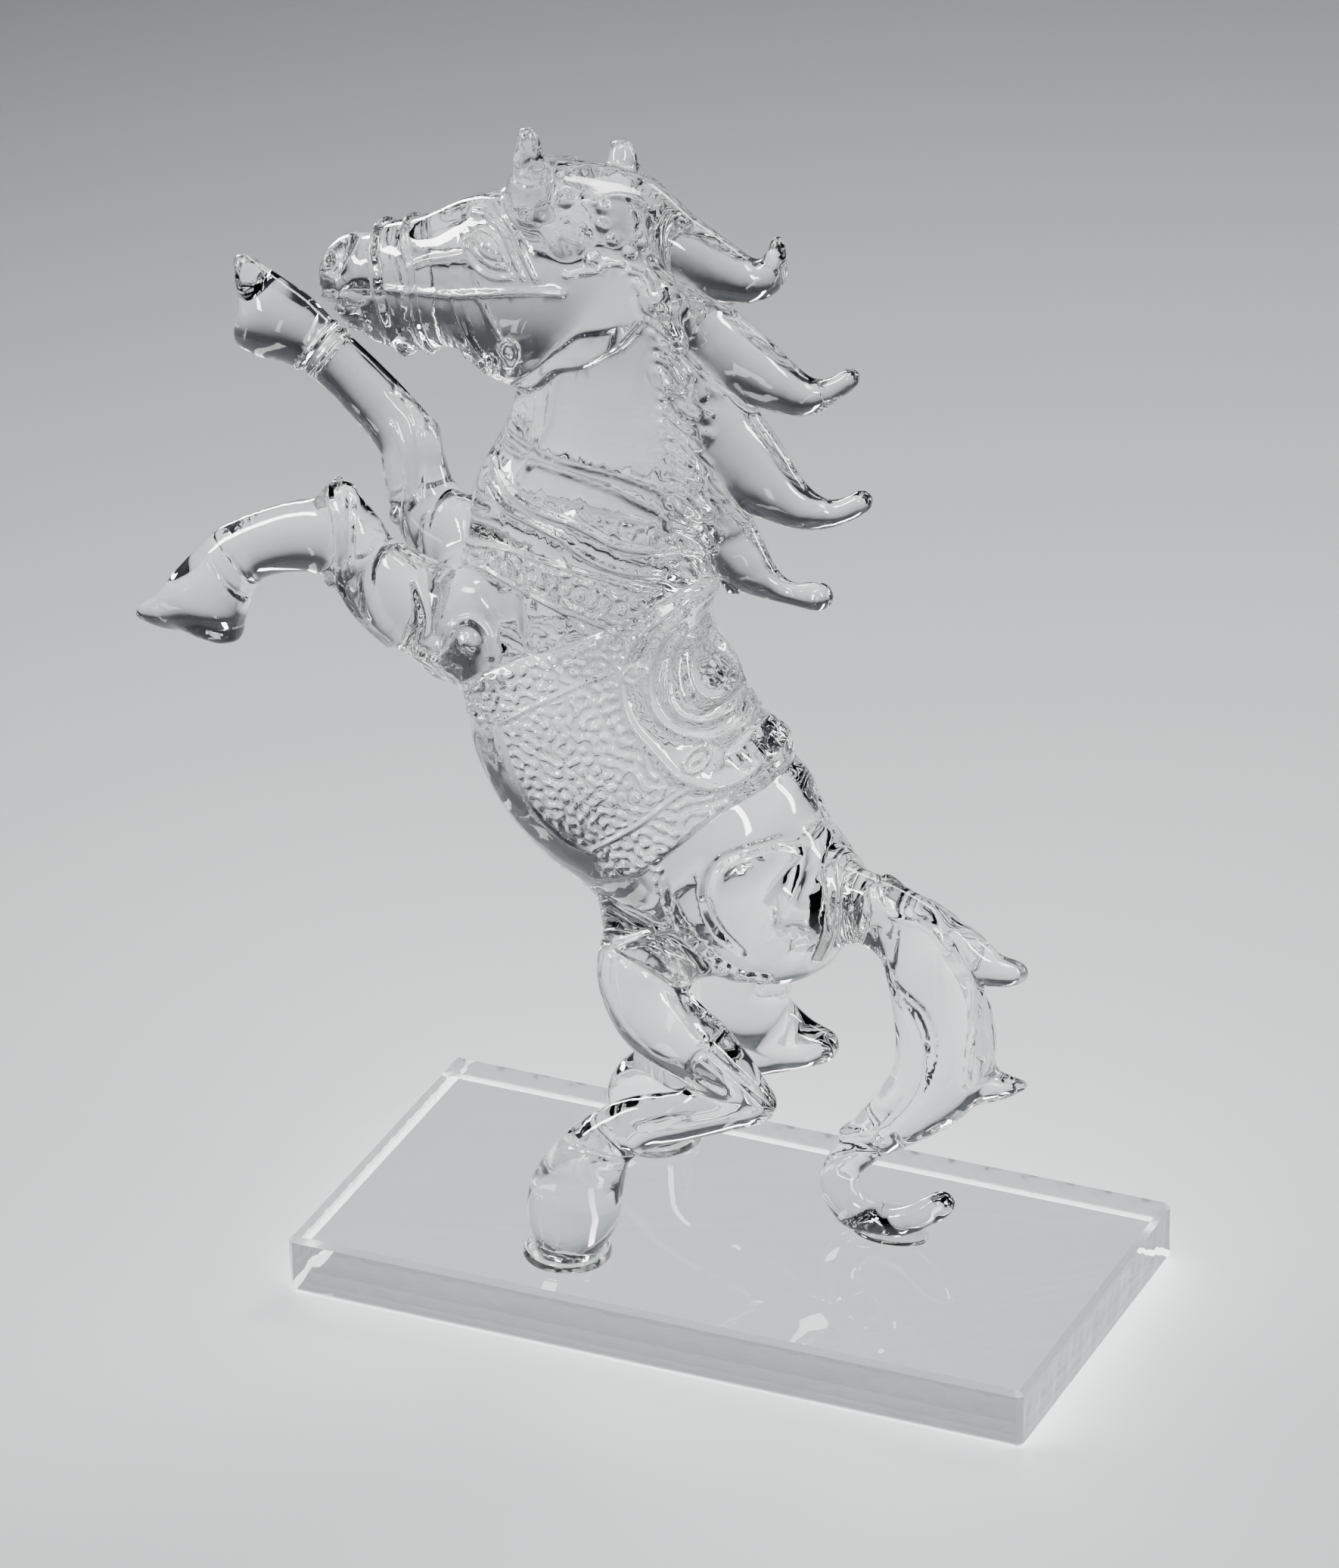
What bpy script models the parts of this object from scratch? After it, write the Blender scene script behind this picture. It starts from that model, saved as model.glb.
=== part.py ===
"""Rearing horse of clear glass on a plate-glass plinth, modelled in metres, +Z up.

The horse faces -X. The origin is in the middle of the plinth's underside.
"""
import bpy
import bmesh
import numpy as np
from mathutils import Vector

# Plinth: a bar of plate glass with ground edges.
PLINTH_LENGTH = 0.150
PLINTH_DEPTH = 0.075
PLINTH_THICKNESS = 0.012
PLINTH_CHAMFER = 0.0010

# Horse: its height from the plinth's top to the tip of the near ear. The limbs
# are drawn in millimetres on a figure of DRAWN_HEIGHT, and follow its height.
FIGURE_HEIGHT = 0.225
DRAWN_HEIGHT = 225.0
UNIT = FIGURE_HEIGHT / DRAWN_HEIGHT

# Glue: the clear beads that hold both hind hooves and the foot of the tail. Each
# is a shallow dish or pad, laid on the plinth and clear of the glass above it.
GAP = 0.0003
GLUE_FLOOR = 0.0008
GLUE_RIM_HEIGHT = 0.0018
GLUE_RIM_WIDTH = 0.0006
GLUE_SIDES = 24
SEAT_CLEARANCE = 0.0007
SOLE_LEVEL = PLINTH_THICKNESS + GAP + GLUE_FLOOR + GAP

# Fineness of the fused glass.
VOXEL = 1.0 * UNIT
RINGS_PER_SPAN = 5
RING_SIDES = 20
SMOOTH_ROUNDS = 7
SOLE_CROWN = 0.25
PATCH_EDGE = 1.4
HORSE_TRIANGLES = 8600


def clear_scene():
    for item in list(bpy.data.objects):
        bpy.data.objects.remove(item, do_unlink=True)


def glass(name, colour, roughness):
    """A see-through glass: Principled with full transmission."""
    material = bpy.data.materials.new(name)
    material.use_nodes = True
    shader = material.node_tree.nodes["Principled BSDF"]
    shader.inputs["Base Color"].default_value = (*colour, 1.0)
    shader.inputs["Metallic"].default_value = 0.0
    shader.inputs["Roughness"].default_value = roughness
    shader.inputs["IOR"].default_value = 1.5
    shader.inputs["Transmission Weight"].default_value = 1.0
    material.diffuse_color = (*colour, 0.5)
    return material


def add_object(name, mesh, material):
    mesh.name = name
    item = bpy.data.objects.new(name, mesh)
    mesh.materials.clear()
    mesh.materials.append(material)
    bpy.context.scene.collection.objects.link(item)
    return item


# Limbs of the horse. A section is (x, y, z, half depth, half width): its centre
# with z above the plinth's top, its half size across the limb in side view, and
# its half size from side to side.
LIMBS = {
    "trunk": [(-45, -2, 121, 14, 13), (-33, -2, 114, 20.5, 17.5), (-21.8, -2.5, 98.8, 24.2, 19.5),
              (-8.6, -2, 88.2, 23.4, 20), (2.8, -2, 79.2, 22.8, 20.5), (10.8, -2, 73.8, 17.3, 18)],
    "chest": [(-51, -5, 115.5, 8, 8), (-45.5, -4, 117.5, 14, 14), (-35, -3, 119, 16, 16)],
    "neck": [(-26, -2, 112, 19, 15), (-27, -2.5, 126, 22, 15), (-23.5, -1, 143, 24.3, 14),
             (-21, 0, 159, 20.3, 11.5), (-20.5, 1, 174, 16.8, 10), (-19, 2, 188, 13, 9.5),
             (-19.5, 3, 200, 9.5, 8)],
    "head": [(-73, 4, 183, 8.6, 7), (-69.5, 4, 182, 11, 7.8), (-63, 4, 182.3, 12.8, 8.2),
             (-55.5, 3, 185, 12.9, 8.2), (-46, 3, 186.8, 17, 9.8), (-36, 2, 187.5, 19, 10.5),
             (-26, 2, 193, 17, 9.5)],
    "poll": [(-33, 0, 207, 7.5, 7), (-22.5, 2, 206, 8, 7), (-14.5, 2, 204.5, 8, 6.5), (-8, 1, 202, 7, 5)],
    "near_ear": [(-32.5, -5, 207, 4.2, 3.8), (-32, -7, 217, 3.4, 2.6), (-31.5, -8, 222.5, 2.2, 2)],
    "far_ear": [(-21, 8, 201, 3.5, 3), (-21.5, 10, 209, 2.7, 2.4), (-22, 11, 213, 2, 1.8)],
    "curl_1": [(-16, 2, 202, 6, 5.5), (-7.5, 1, 201.5, 6.6, 5.2), (0.5, 0, 199, 5.9, 4.6),
               (7.5, 0, 197, 4.5, 4), (12, 0, 199, 3.4, 3.2), (13, 0, 202.5, 2.4, 2.4), (13.5, 0, 206, 1.6, 1.6)],
    "curl_2": [(-14, 1, 193, 6, 6), (-6, 0, 190.5, 6.5, 5.6), (1.5, 0, 184, 7, 5), (9, 0, 179.5, 6.6, 4.4),
               (14, 0, 177, 5.4, 4), (19, 0, 176, 3.9, 3.4), (24, 0, 178.5, 2.5, 2.5), (27.5, 0, 181.5, 2.2, 2.2)],
    "curl_3": [(-12, 0, 181, 6, 6), (-2.5, 0, 173, 7, 5.6), (3.5, 0, 165, 8, 5.2), (9, 0, 158.5, 7.6, 4.6),
               (13.5, 0, 155, 6, 4), (18.5, 0, 153, 4.1, 3.4), (24, 0, 153.5, 2.7, 2.7), (29.5, 0, 157, 2.5, 2.5)],
    "curl_4": [(-10, 0, 163, 7, 6), (-3, 0, 153, 7, 5.6), (1.5, 0, 146, 6.6, 5), (6, 0, 140, 5.4, 4.2),
               (10, 0, 137, 3.7, 3.2), (14.5, 0, 135.5, 2.4, 2.4), (20.5, 0, 136, 3.2, 3.2)],
    "far_arm": [(-42, 6, 122, 12, 9), (-50, 8, 127, 10.5, 8), (-60, 10, 130.5, 8.3, 7), (-64.5, 11, 136, 6.8, 6),
                (-66.5, 12, 142, 6.3, 5.5), (-66, 12, 147.5, 5, 5)],
    "far_cannon": [(-66.5, 12, 145, 6.5, 5.2), (-71, 12, 150.5, 6.1, 4.8), (-78, 12, 157, 5.8, 4.8),
                   (-85, 12, 162.5, 5.7, 4.8)],
    "far_fore_toe": [(-94, 13, 168, 6, 5), (-98.7, 13, 173, 4, 4), (-101, 13, 176.8, 2.2, 2.4)],
    "near_arm": [(-38, -9, 118, 12, 9), (-44.5, -11, 122, 11.5, 8.5), (-50, -13, 124.5, 10, 8),
                 (-55.5, -15, 128, 9, 7.5), (-62.5, -17, 134.5, 8, 6.5), (-65.5, -18, 141.5, 7, 5.5),
                 (-67, -18, 147.5, 4.5, 4.2)],
    "near_cannon": [(-66.5, -18, 140.5, 8, 5.5), (-75, -18, 139, 7.2, 4.8), (-83, -18, 136, 6.4, 4.5),
                    (-89, -18, 132.5, 6.3, 4.6)],
    "near_fore_toe": [(-98, -18, 120.8, 5.6, 5), (-103.5, -18, 118.4, 4, 4.2), (-109, -18, 117, 2, 2.6)],
    "near_thigh": [(4, -8, 74, 17, 9), (-2.5, -10.5, 71, 15.5, 9), (-7, -14.5, 66, 10.8, 8.5),
                   (-9.5, -17, 59.5, 8.4, 7.5), (-5, -19, 52.5, 8.2, 7), (3, -20, 48.5, 7.5, 6),
                   (11.5, -21, 43.5, 5.4, 4.8), (16.5, -22, 40.5, 3.7, 3.7)],
    "flank": [(-14.5, -9, 78.5, 7, 8), (-12, -12, 71, 6.8, 7.5), (-9.5, -15, 65, 7, 7)],
    "near_shank": [(16, -22, 40, 3.8, 3.8), (5, -22, 36, 4.6, 4.3), (-7, -23, 32, 5.5, 4.6),
                   (-14.5, -23, 27, 5.8, 5)],
    "near_pastern": [(-14, -23, 27.5, 5.8, 5.2), (-18.3, -23, 21, 7.4, 6.6), (-20.8, -23, 14, 8.6, 7.6)],
    "far_thigh": [(2, 7, 67, 12.5, 9), (1, 8.5, 60, 11, 9), (-1, 11, 49, 9.6, 8.5), (-2, 14, 39, 9, 7.5),
                  (1, 17, 34, 6.9, 6), (7, 18, 31, 5.1, 4.6), (11.5, 19, 30.3, 3.6, 3.6)],
    "far_shank": [(11, 19, 30, 3.8, 3.8), (-1, 20, 25.5, 4.6, 4.3), (-14.5, 21, 21.5, 5, 4.6),
                  (-22.5, 22, 18, 5.6, 5)],
    "far_pastern": [(-22, 22, 18.5, 5.6, 5), (-26, 22.5, 12, 7.4, 6.6)],
    "tail": [(9, -2, 77, 11, 9), (17, -2, 76, 10, 8.5), (26, -2, 74.5, 7.8, 6.5), (32, 0, 72.5, 7.2, 5.5),
             (39, 1, 67.3, 8.7, 5.6), (41.5, 3, 57.5, 9.6, 6), (43, 4, 46.5, 10.2, 6), (40.5, 5, 36.5, 9, 5.6),
             (34.5, 5, 28.5, 6.8, 5), (26.5, 6, 20.5, 4.8, 4.4), (21.5, 6, 14, 3.9, 4), (20.2, 6, 8.5, 3.9, 4),
             (23.3, 6, 3.9, 3.9, 4.2), (28.5, 6, 2.7, 3.5, 4), (34, 5.5, 4.4, 3.1, 3.5), (38.5, 5, 7.5, 3, 3.1),
             (41.5, 5, 9.8, 3, 3)],
    "tail_curl_a": [(37, 1, 67, 5, 4.4), (43, 2, 68.5, 5, 4.4), (48.5, 3, 66, 4.4, 3.8), (53, 3, 63.3, 3.4, 3.2),
                    (57.5, 3, 63.8, 2.8, 2.8)],
    "tail_curl_b": [(43, 5, 37.5, 5, 4), (50, 5, 37.3, 4, 3.4), (54.5, 5, 38, 2.6, 2.6), (58, 5, 39, 1.5, 1.6)],
}
# Hooves end in a sole instead of a round tip.
HOOVES = {
    "far_fore_hoof": [(-85, 12, 162.5, 5.7, 4.8), (-90.5, 13, 164.5, 7.2, 6), (-95.5, 13, 166, 8.2, 6.4),
                      (-99.5, 13, 167.5, 8.6, 6)],
    "near_fore_hoof": [(-89, -18, 132.5, 6.3, 4.6), (-93, -18, 126.5, 7.4, 5.8), (-96, -18, 121, 8.6, 6.4),
                       (-97.3, -18, 117.5, 9.6, 6)],
    "near_hind_hoof": [(-17.5, -23, 22, 7.2, 6.4), (-20.8, -23, 14.5, 9, 8), (-22, -23, 8.5, 8.8, 8.4),
                       (-22.8, -23, 3.5, 6.9, 6.9), (-23, -23, 0, 6.2, 6.2)],
    "far_hind_hoof": [(-23.5, 22, 16, 6.4, 5.8), (-26.2, 22.5, 10.5, 8.4, 7.6), (-26, 22.5, 7, 8.5, 8.1),
                      (-25.2, 22.5, 3, 6.6, 6.6), (-25, 22.5, 0, 6.2, 6.2)],
}


# Glue under the foot of the tail: its middle (x, y), half length and half width.
TAIL_PAD = (30.5, 5.8, 7.5, 4.0)

# Relief, drawn in side view as (x, z) in the same millimetres, alike on both
# flanks. A patch is raised by its height inside its outline; a band is a rounded
# ridge of its height and half width along its line, or a groove if below zero.
PATCHES = {
    "blanket": (0.9, [(-44, 114), (-38.5, 117.5), (-32, 121), (-23.5, 124.5), (-16.5, 128.5), (-9, 133),
                      (4, 136), (24, 112), (12.5, 99.5), (8.5, 98), (4, 94.5), (-0.5, 90), (-6.5, 84.5),
                      (-12, 81.5), (-17, 80), (-24, 82), (-32, 86.5), (-38.5, 93), (-42, 100), (-44.5, 108)]),
    "saddle": (1.2, [(-0.5, 137.5), (-7, 133.5), (-11.5, 129), (-13.5, 124), (-14, 117.5), (-11, 111), (-6.5, 106),
                     (-2, 102), (1.5, 100.3), (6, 99.3), (10, 99.8), (15, 100.5), (22, 112), (10, 130), (3.5, 137)]),
    "cantle": (1.3, [(5.5, 104.5), (9.5, 101.5), (15, 101.5), (18, 106), (10, 112)]),
}
BANDS = {
    "blanket_edge_top": (0.5, 0.8, [(-35, 109), (-28.5, 113.5), (-22.5, 117), (-15, 121)]),
    "blanket_edge_belly": (0.5, 0.9, [(-35, 108), (-32, 100), (-27, 92.5), (-21, 88), (-15.5, 87.5)]),
    "blanket_edge_bottom": (0.5, 0.8, [(-15.5, 88), (-6.5, 94.5), (0, 100), (4, 100)]),
    "seat_rim": (1.0, 1.3, [(-2, 135), (-5.5, 129.5), (-7.5, 125), (-8, 119), (-5.5, 114), (-1.5, 110),
                            (2, 107.5), (7, 107)]),
    "seat_ridge": (0.7, 0.9, [(-3, 128), (-4.5, 124), (-4.6, 118.5), (-1.5, 114), (3, 110.5)]),
    "seat_ridge_inner": (0.7, 0.9, [(0, 128), (-1.4, 123), (-1, 118.5), (1.5, 114.5), (5, 111)]),
    "saddle_rim": (0.6, 0.9, [(-1, 136), (-6.5, 132.5), (-10.7, 128.4), (-12.6, 123.8), (-13, 117.5), (-10.2, 111.5),
                              (-6, 106.8), (-1.6, 103.2), (1.8, 101.5), (6, 100.5)]),
    "breast_collar": (0.9, 2.3, [(-45.5, 136), (-40.5, 137.3), (-30, 137.5), (-20.5, 135), (-13.5, 131.5)]),
    "neck_ring": (0.7, 1.1, [(-37, 156), (-33, 153), (-27.5, 150.5), (-21, 149), (-13, 147), (-7, 146.5), (-3, 147)]),
    "neck_ring_low": (0.7, 1.1, [(-40, 152.5), (-34.5, 149.5), (-25.5, 146), (-17, 144), (-10.5, 142),
                                 (-4.5, 141), (-1, 141)]),
    "rump_strap": (0.9, 1.6, [(-3.8, 88), (-1, 80), (3, 71.5), (8, 65.3), (15, 63.5)]),
    "thigh_crease": (-0.6, 1.3, [(6.5, 78), (5.8, 84), (7.5, 88.5), (11.5, 90.5), (15.5, 91.5)]),
    "noseband": (0.6, 0.9, [(-69.5, 194), (-67.5, 189.5), (-65.3, 185), (-64, 179), (-64, 173), (-64.5, 169)]),
    "noseband_back": (0.6, 0.8, [(-62.5, 197), (-59.8, 191.5), (-58, 186.5), (-57.3, 180.5), (-57.5, 175), (-58.5, 171)]),
    "cheek_strap": (0.6, 0.9, [(-57.5, 185), (-48, 187.5), (-38, 191.3), (-26.5, 194.5)]),
    "brow_strap": (0.6, 0.9, [(-26.5, 208), (-22, 204.5), (-18.5, 198)]),
    "eye_lid": (0.7, 0.8, [(-45, 196), (-42.5, 199.6), (-38.5, 200.4), (-34.5, 198)]),
    "mouth": (-0.7, 0.8, [(-78, 178), (-73, 178.8), (-68, 179.6)]),
}
# Round knobs: height, radius and centre; a pit is below zero.
KNOBS = [(0.9, 2.4, (-10.3, 121.8)), (0.9, 2.4, (1.2, 104.8)), (1.2, 2.3, (-26.5, 208.5)),
         (0.9, 2.0, (-40.5, 196.8)), (-0.9, 1.4, (-75.3, 186.3))]
# Short slanted locks along the crest of the neck.
LOCKS = 17
LOCK_LINE = [(-13.5, 194), (-8.5, 181), (-8, 168.5), (-8, 158.5), (-6.5, 146), (-4.5, 139)]
LOCK_REACH = (5.0, -4.2)
LOCK_HEIGHT = 0.9
LOCK_HALF_WIDTH = 1.0


def spline(points, per_span):
    """Catmull-Rom curve through the rows of points, with per_span steps in each span."""
    rows = np.asarray(points, float)
    rows = np.vstack([2 * rows[0] - rows[1], rows, 2 * rows[-1] - rows[-2]])
    steps = np.linspace(0.0, 1.0, per_span, endpoint=False)[:, None]
    spans = []
    for a, b, c, d in zip(rows[:-3], rows[1:-2], rows[2:-1], rows[3:]):
        spans.append(0.5 * (2 * b + (c - a) * steps + (2 * a - 5 * b + 4 * c - d) * steps ** 2
                            + (3 * b - a - 3 * c + d) * steps ** 3))
    return np.vstack(spans + [rows[-2:-1]])


def add_limb(shape, sections, end_length):
    """Loft a tube with elliptical rings through the sections.

    Its ends are half ellipsoids, end_length times as long as they are thick.
    """
    rows = spline(sections, RINGS_PER_SPAN) * UNIT
    centres = rows[:, :3] + np.array((0.0, 0.0, PLINTH_THICKNESS))
    tangents = np.gradient(centres, axis=0)
    tangents /= np.linalg.norm(tangents, axis=1)[:, None]
    rings = []
    first, last = 0, len(rows) - 1
    caps = [(first, -0.95), (first, -0.75), (first, -0.4)]
    caps += [(i, 0.0) for i in range(len(rows))] + [(last, 0.4), (last, 0.75), (last, 0.95)]
    for index, past in caps:
        tangent = Vector(tangents[index])
        across = Vector((0.0, 1.0, 0.0))
        across = (across - tangent * tangent.dot(across)).normalized()
        outward = tangent.cross(across)
        depth, width = rows[index, 3], rows[index, 4]
        shrink = (1.0 - past * past) ** 0.5
        centre = Vector(centres[index]) + tangent * past * min(depth, width) * end_length
        ring = []
        for turn in np.linspace(0.0, 2 * np.pi, RING_SIDES, endpoint=False):
            offset = outward * (np.cos(turn) * depth * shrink) + across * (np.sin(turn) * width * shrink)
            ring.append(shape.verts.new(centre + offset))
        rings.append(ring)
    for lower, upper in zip(rings[:-1], rings[1:]):
        for i in range(RING_SIDES):
            j = (i + 1) % RING_SIDES
            shape.faces.new((lower[i], lower[j], upper[j], upper[i]))
    shape.faces.new(rings[0][::-1])
    shape.faces.new(rings[-1])


def span_distance(places, line):
    """Distance of each place from an open line of points, in side view."""
    nearest = np.full(len(places), np.inf)
    for start, end in zip(line[:-1], line[1:]):
        along = end - start
        share = np.clip((places - start) @ along / (along @ along), 0.0, 1.0)
        nearest = np.minimum(nearest, np.linalg.norm(places - start - share[:, None] * along, axis=1))
    return nearest


def inside(places, outline):
    """True for each place inside the closed outline, by counting the edges to its right."""
    crossings = np.zeros(len(places), int)
    for (x1, z1), (x2, z2) in zip(outline, np.roll(outline, -1, axis=0)):
        spans = (z1 > places[:, 1]) != (z2 > places[:, 1])
        rise = (z2 - z1) if z2 != z1 else 1.0
        crossings += spans & (places[:, 0] < x1 + (x2 - x1) * (places[:, 1] - z1) / rise)
    return crossings % 2 == 1


def soft_step(share):
    share = np.clip(share, 0.0, 1.0)
    return share * share * (3.0 - 2.0 * share)


def relief(places):
    """Height of the moulded relief at each place of the side view, in drawn millimetres."""
    height = np.zeros(len(places))
    for rise, outline in PATCHES.values():
        outline = np.array(outline, float)
        closed = np.vstack([outline, outline[:1]])
        edge = span_distance(places, closed) * np.where(inside(places, outline), 1.0, -1.0)
        height += rise * soft_step(0.5 + edge / PATCH_EDGE)
    for rise, half_width, line in BANDS.values():
        height += rise * soft_step(1.0 - span_distance(places, spline(line, 4)) / half_width)
    for rise, radius, centre in KNOBS:
        away = np.linalg.norm(places - np.array(centre), axis=1)
        height += rise * soft_step(1.3 * (1.0 - away / radius))
    roots = spline(LOCK_LINE, 8)
    lengths = np.concatenate([[0.0], np.cumsum(np.linalg.norm(np.diff(roots, axis=0), axis=1))])
    locks = np.zeros(len(places))
    for at in np.linspace(0.0, lengths[-1], LOCKS):
        root = np.array([np.interp(at, lengths, roots[:, 0]), np.interp(at, lengths, roots[:, 1])])
        lock = span_distance(places, np.array([root, root + LOCK_REACH]))
        locks = np.maximum(locks, LOCK_HEIGHT * soft_step(1.0 - lock / LOCK_HALF_WIDTH))
    return height + locks


def evaluated_mesh(item):
    """A copy of the mesh as its modifiers leave it."""
    graph = bpy.context.evaluated_depsgraph_get()
    return bpy.data.meshes.new_from_object(item.evaluated_get(graph))


def press_relief(mesh):
    """Push each vertex along its normal by the relief's height."""
    places = np.empty(3 * len(mesh.vertices), np.float32)
    mesh.vertices.foreach_get("co", places)
    places = places.reshape(-1, 3)
    normals = np.empty(3 * len(mesh.vertices), np.float32)
    mesh.vertices.foreach_get("normal", normals)
    side_view = (places[:, (0, 2)] - (0.0, PLINTH_THICKNESS)) / UNIT
    places += normals.reshape(-1, 3) * (relief(side_view) * UNIT)[:, None]
    mesh.vertices.foreach_set("co", places.ravel())
    mesh.update()


def cut_soles(mesh):
    """Cut the horse off flat where it meets the glue."""
    shape = bmesh.new()
    shape.from_mesh(mesh)
    bmesh.ops.bisect_plane(shape, geom=shape.verts[:] + shape.edges[:] + shape.faces[:],
                           plane_co=(0.0, 0.0, SOLE_LEVEL), plane_no=(0.0, 0.0, -1.0), clear_outer=True)
    rims = [edge for edge in shape.edges if edge.is_boundary]
    bmesh.ops.holes_fill(shape, edges=rims)
    bmesh.ops.triangulate(shape, faces=shape.faces)
    shape.to_mesh(mesh)
    shape.free()


def replace_mesh(item, mesh):
    material = item.data.materials[0]
    item.modifiers.clear()
    item.data = mesh
    mesh.materials.clear()
    mesh.materials.append(material)


def make_horse(material):
    """Fuse the limbs, press the relief, thin the mesh and cut the soles."""
    shape = bmesh.new()
    for sections in LIMBS.values():
        add_limb(shape, sections, 1.0)
    for sections in HOOVES.values():
        add_limb(shape, sections, SOLE_CROWN)
    bmesh.ops.recalc_face_normals(shape, faces=shape.faces)
    mesh = bpy.data.meshes.new("horse")
    shape.to_mesh(mesh)
    shape.free()
    horse = add_object("horse", mesh, material)
    fuse = horse.modifiers.new("Fuse", "REMESH")
    fuse.mode = "VOXEL"
    fuse.voxel_size = VOXEL
    polish = horse.modifiers.new("Fire polish", "SMOOTH")
    polish.factor = 0.5
    polish.iterations = SMOOTH_ROUNDS
    replace_mesh(horse, evaluated_mesh(horse))
    press_relief(horse.data)
    triangles = sum(len(face.vertices) - 2 for face in horse.data.polygons)
    thin = horse.modifiers.new("Thin", "DECIMATE")
    thin.ratio = HORSE_TRIANGLES / triangles
    replace_mesh(horse, evaluated_mesh(horse))
    cut_soles(horse.data)
    horse.data.shade_smooth()
    return horse


def make_glue(name, oval, profile, material):
    """Turn a profile of (reach past the oval, height) into a bead on the plinth.

    The oval is its middle (x, y) and its half length and half width.
    """
    shape = bmesh.new()
    rings = []
    for reach, height in profile:
        ring = []
        for turn in np.linspace(0.0, 2 * np.pi, GLUE_SIDES, endpoint=False):
            x = oval[0] + np.cos(turn) * (oval[2] + reach)
            y = oval[1] + np.sin(turn) * (oval[3] + reach)
            ring.append(shape.verts.new((x, y, PLINTH_THICKNESS + GAP + height)))
        rings.append(ring)
    for lower, upper in zip(rings[:-1], rings[1:]):
        for i in range(GLUE_SIDES):
            j = (i + 1) % GLUE_SIDES
            shape.faces.new((lower[i], lower[j], upper[j], upper[i]))
    shape.faces.new(rings[0][::-1])
    shape.faces.new(rings[-1])
    bmesh.ops.recalc_face_normals(shape, faces=shape.faces)
    mesh = bpy.data.meshes.new(name)
    shape.to_mesh(mesh)
    shape.free()
    bead = add_object(name, mesh, material)
    mesh.shade_smooth()
    mesh.set_sharp_from_angle(angle=np.radians(40))
    return bead


def make_plinth(material):
    shape = bmesh.new()
    bmesh.ops.create_cube(shape, size=1.0)
    size = (PLINTH_LENGTH, PLINTH_DEPTH, PLINTH_THICKNESS)
    bmesh.ops.scale(shape, vec=size, verts=shape.verts)
    bmesh.ops.translate(shape, vec=(0.0, 0.0, PLINTH_THICKNESS / 2), verts=shape.verts)
    bmesh.ops.bevel(shape, geom=shape.edges[:], offset=PLINTH_CHAMFER, segments=1, affect="EDGES")
    mesh = bpy.data.meshes.new("plinth")
    shape.to_mesh(mesh)
    shape.free()
    return add_object("plinth", mesh, material)


clear_scene()
horse = make_horse(glass("Clear glass", (0.98, 0.99, 0.99), 0.02))
glue = glass("Clear glue", (0.97, 0.98, 0.97), 0.06)
dish = [(0.0, 0.0), (GLUE_RIM_WIDTH * 2.2, 0.0), (GLUE_RIM_WIDTH * 2.4, GLUE_FLOOR),
        (GLUE_RIM_WIDTH * 1.8, GLUE_RIM_HEIGHT * 0.85), (GLUE_RIM_WIDTH * 1.4, GLUE_RIM_HEIGHT),
        (GLUE_RIM_WIDTH, GLUE_RIM_HEIGHT * 0.9), (0.0, GLUE_FLOOR)]
for name, hoof in (("near_hoof_glue", "near_hind_hoof"), ("far_hoof_glue", "far_hind_hoof")):
    x, y, _, depth, width = np.array(HOOVES[hoof][-1]) * UNIT
    make_glue(name, (x, y, depth + SEAT_CLEARANCE, width + SEAT_CLEARANCE), dish, glue)
pad = [(-GLUE_FLOOR, 0.0), (0.0, 0.0), (GLUE_FLOOR * 0.3, GLUE_FLOOR * 0.5), (-GLUE_FLOOR * 0.3, GLUE_FLOOR)]
make_glue("tail_glue", np.array(TAIL_PAD) * UNIT, pad, glue)
plinth = make_plinth(glass("Plate glass", (0.93, 0.97, 0.96), 0.03))
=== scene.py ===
"""A rearing horse of clear glass, moulded and hot-worked, glued to a bar of plate glass."""

import bmesh
import bpy
import numpy as np
from mathutils import Matrix, Vector


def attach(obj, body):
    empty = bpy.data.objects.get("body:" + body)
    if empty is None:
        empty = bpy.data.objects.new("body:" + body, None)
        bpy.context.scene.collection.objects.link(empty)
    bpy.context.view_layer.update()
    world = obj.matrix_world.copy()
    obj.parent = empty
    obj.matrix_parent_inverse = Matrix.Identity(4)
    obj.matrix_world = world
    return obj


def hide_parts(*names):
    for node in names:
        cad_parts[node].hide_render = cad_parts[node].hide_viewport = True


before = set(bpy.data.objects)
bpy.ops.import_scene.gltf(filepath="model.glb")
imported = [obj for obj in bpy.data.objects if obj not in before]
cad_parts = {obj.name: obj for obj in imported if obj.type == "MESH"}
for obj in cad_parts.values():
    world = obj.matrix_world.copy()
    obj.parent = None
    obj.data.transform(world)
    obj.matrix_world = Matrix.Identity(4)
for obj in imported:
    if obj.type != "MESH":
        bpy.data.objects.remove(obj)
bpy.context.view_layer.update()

# Camera. It stands 1.8 m off with a long lens, to the left of the horse's flank
# and above it, as the plinth's corners in the photograph give it.
PHOTO_HEIGHT = 2072
FOCAL_PIXELS = 13000
camera_data = bpy.data.cameras.new("Camera")
camera_data.sensor_fit = "VERTICAL"
camera_data.sensor_height = 36.0
camera_data.lens = FOCAL_PIXELS / PHOTO_HEIGHT * camera_data.sensor_height
camera = bpy.data.objects.new("Camera", camera_data)
bpy.context.scene.collection.objects.link(camera)
camera_right = Vector((0.91302, 0.40737, -0.02105))
camera_up = Vector((-0.17535, 0.43853, 0.88144))
camera_back = camera_right.cross(camera_up)
camera.matrix_world = Matrix.Translation((0.6600, -1.4581, 0.9620)) @ Matrix(
    (camera_right, camera_up, camera_back)).transposed().to_4x4()
bpy.context.scene.camera = camera

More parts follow.
